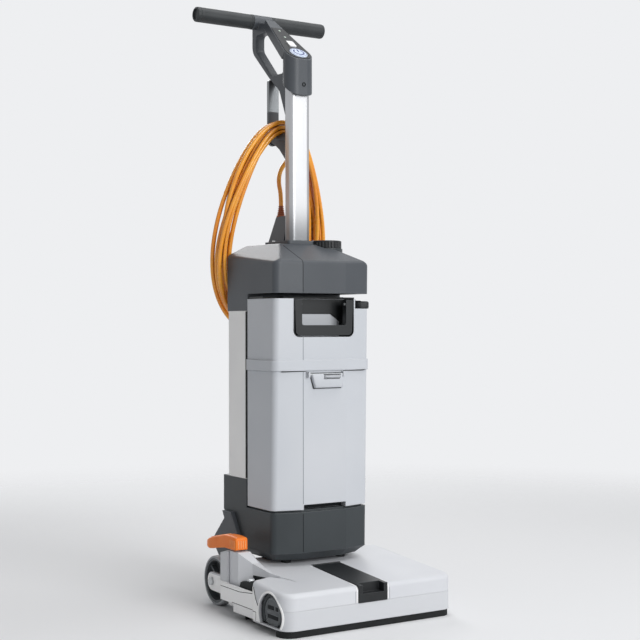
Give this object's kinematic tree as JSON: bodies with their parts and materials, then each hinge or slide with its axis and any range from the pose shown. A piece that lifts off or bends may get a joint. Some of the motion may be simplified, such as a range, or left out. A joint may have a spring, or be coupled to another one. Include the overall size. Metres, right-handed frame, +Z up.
{
  "type": "upright floor scrubber",
  "caption": "Upright floor scrubber-dryer: wheeled brush deck, tilting column with lift-out tanks, metal mast, T-bar handle with control panel, and a mains cord coiled on a hook.",
  "frame": {"origin": "on the floor, under the middle of the machine", "axes": "+Z up, front faces -Y, +X to the right when looking along +Y"},
  "size_m": [0.36, 0.4171, 1.15],
  "materials": {
    "light_shell": "moulded, fine satin",
    "dark_shell": "moulded, fine satin",
    "black_trim": "moulded, matt",
    "black_rubber": "matt",
    "orange_plastic": "moulded, semi-gloss",
    "cord_jacket": "smooth, glossy",
    "silver_mast": "anodised",
    "steel": "plated",
    "bristle": "bristle rows",
    "wheel_plastic": "moulded",
    "pad_blue": "soft-touch key",
    "lens_green": "clear"
  },
  "bodies": {
    "deck": {"deck_cover": "light_shell", "deck_chassis": "light_shell", "front_lip": "black_rubber", "suction_duct": "dark_shell", "rest_bumpers": "black_rubber", "brush_motor": "steel", "drive_belt": "black_rubber", "rear_axle": "steel", "axle_bolts": "steel", "pedal_pin": "steel"},
    "duct_lid": {"duct_cover": "black_trim"},
    "knob": {"brush_end_knob": "dark_shell"},
    "brush": {"brush_core": "bristle", "brush_bristles": "bristle", "drive_hub": "black_trim"},
    "pulley": {"motor_pulley": "black_trim"},
    "squeegee": {"squeegee_holder": "dark_shell", "squeegee_blades": "black_rubber", "lift_link": "steel"},
    "left_wheel": {"left_tyre": "black_rubber", "left_wheel_hub": "wheel_plastic"},
    "right_wheel": {"right_tyre": "black_rubber", "right_wheel_hub": "wheel_plastic"},
    "pedal": {"foot_pedal": "orange_plastic"},
    "column": {"base_housing": "dark_shell", "pivot_plates": "dark_shell", "rear_housing": "light_shell", "top_housing": "dark_shell", "fan_casing": "dark_shell", "vacuum_motor": "steel", "cap_collar": "dark_shell", "suction_pipe": "dark_shell", "solution_pump": "dark_shell", "mast": "silver_mast", "mast_strip": "black_trim", "mast_foot": "dark_shell", "handle_frame": "dark_shell", "control_panel": "black_trim", "indicator_lenses": "lens_green", "handle_bar": "steel", "handle_grips": "black_trim", "hook_bracket": "dark_shell", "cord_gland": "orange_plastic", "cord_lead": "cord_jacket", "cord_coil": "cord_jacket", "cord_tail": "cord_jacket", "cord_plug": "black_trim"},
    "fan": {"vacuum_fan": "dark_shell"},
    "cap": {"screw_cap": "black_trim"},
    "tanks": {"clean_tank": "light_shell", "recovery_tank": "light_shell", "recovery_lid": "dark_shell", "tank_pins": "steel"},
    "bail": {"tank_bail": "dark_shell"},
    "latch": {"tank_latch": "light_shell"},
    "plug": {"filler_plug": "black_trim"},
    "power_key": {"power_button": "pad_blue"},
    "water_key": {"water_button": "pad_blue"},
    "hook": {"hook_finger": "dark_shell", "hook_sleeve": "silver_mast"}
  },
  "joints": [
    {"name": "column_tilt", "type": "hinge", "parent": "deck", "child": "column", "pos_m": [0, 0.104, 0.0466], "axis": [-1, 0, 0], "range_deg": [0, 60]},
    {"name": "duct_lid_open", "type": "hinge", "parent": "deck", "child": "duct_lid", "pos_m": [0, -0.0525, 0.08592], "axis": [-1, 0, 0], "range_deg": [0, 60]},
    {"name": "knob_turn", "type": "hinge", "parent": "deck", "child": "knob", "pos_m": [-0.174, -0.154, 0.0365], "axis": [1, 0, 0], "range_deg": [0, 90]},
    {"name": "brush_spin", "type": "hinge", "parent": "deck", "child": "brush", "pos_m": [0, -0.154, 0.0365], "axis": [1, 0, 0], "continuous": true},
    {"name": "pulley_spin", "type": "hinge", "parent": "deck", "child": "pulley", "pos_m": [0.1695, 0.014, 0.046], "axis": [1, 0, 0], "continuous": true},
    {"name": "pedal_press", "type": "hinge", "parent": "deck", "child": "pedal", "pos_m": [-0.1545, 0.014, 0.128], "axis": [-1, 0, 0], "range_deg": [0, 9.6]},
    {"name": "squeegee_lift", "type": "slide", "parent": "deck", "child": "squeegee", "axis": [0, 0, 1], "range_m": [0, 0.008]},
    {"name": "left_wheel_spin", "type": "hinge", "parent": "deck", "child": "left_wheel", "pos_m": [-0.1366, 0.104, 0.0466], "axis": [1, 0, 0], "continuous": true},
    {"name": "right_wheel_spin", "type": "hinge", "parent": "deck", "child": "right_wheel", "pos_m": [0.1366, 0.104, 0.0466], "axis": [1, 0, 0], "continuous": true},
    {"name": "fan_spin", "type": "hinge", "parent": "column", "child": "fan", "pos_m": [-0.04, 0.012, 0.605], "axis": [0, 0, 1], "continuous": true},
    {"name": "cap_turn", "type": "hinge", "parent": "column", "child": "cap", "pos_m": [0.0605, 0.041, 0.68], "axis": [0, 0, 1], "range_deg": [0, 270]},
    {"name": "tanks_out", "type": "slide", "parent": "column", "child": "tanks", "axis": [0, -1, 0], "range_m": [0, 0.18]},
    {"name": "bail_lift", "type": "hinge", "parent": "tanks", "child": "bail", "pos_m": [0, -0.042, 0.568], "axis": [-1, 0, 0], "range_deg": [0, 90]},
    {"name": "latch_open", "type": "hinge", "parent": "tanks", "child": "latch", "pos_m": [0, -0.054, 0.438], "axis": [-1, 0, 0], "range_deg": [0, 40]},
    {"name": "plug_pull", "type": "slide", "parent": "tanks", "child": "plug", "axis": [0, 0, 1], "range_m": [0, 0.01]},
    {"name": "power_press", "type": "slide", "parent": "column", "child": "power_key", "axis": [0, 0.6185, -0.7858], "range_m": [0, 0.002], "stiffness_N_per_m": 500, "springref_m": -0.001},
    {"name": "water_press", "type": "slide", "parent": "column", "child": "water_key", "axis": [0, 0.6185, -0.7858], "range_m": [0, 0.002], "stiffness_N_per_m": 500, "springref_m": -0.001},
    {"name": "hook_turn", "type": "hinge", "parent": "column", "child": "hook", "pos_m": [0, 0.14, 0.893], "axis": [0, 1, 0], "range_deg": [0, 90]}
  ],
  "couplings": [
    {"joint": "pulley_spin", "follows": "brush_spin", "ratio": 1.75},
    {"joint": "pedal_press", "follows": "squeegee_lift", "rad_per_m": 20.94}
  ]
}
